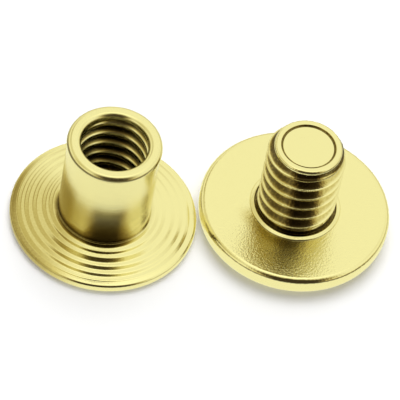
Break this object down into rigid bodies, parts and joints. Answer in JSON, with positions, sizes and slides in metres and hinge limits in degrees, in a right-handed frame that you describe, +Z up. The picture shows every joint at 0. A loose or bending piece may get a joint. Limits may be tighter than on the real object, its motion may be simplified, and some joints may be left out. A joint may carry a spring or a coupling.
{
  "type": "binding barrel screw",
  "caption": "Brass binding barrel screw as its loose halves: a ringed flange with an internally threaded tube, and a flat round head with a matching threaded shank.",
  "frame": {"origin": "under the middle of the pair, on the plane that both heads rest on", "axes": "+Z up along both axes, from the heads to the tube's mouth and the shank's tip; +X from the barrel half to the screw half"},
  "size_m": [0.0198, 0.01, 0.0063],
  "materials": {
    "barrel_brass": "polished pale brass, turned rings on the flange",
    "screw_brass": "polished pale brass, finely grained head"
  },
  "bodies": {
    "root": {"barrel": "barrel_brass", "screw": "screw_brass"}
  },
  "joints": []
}
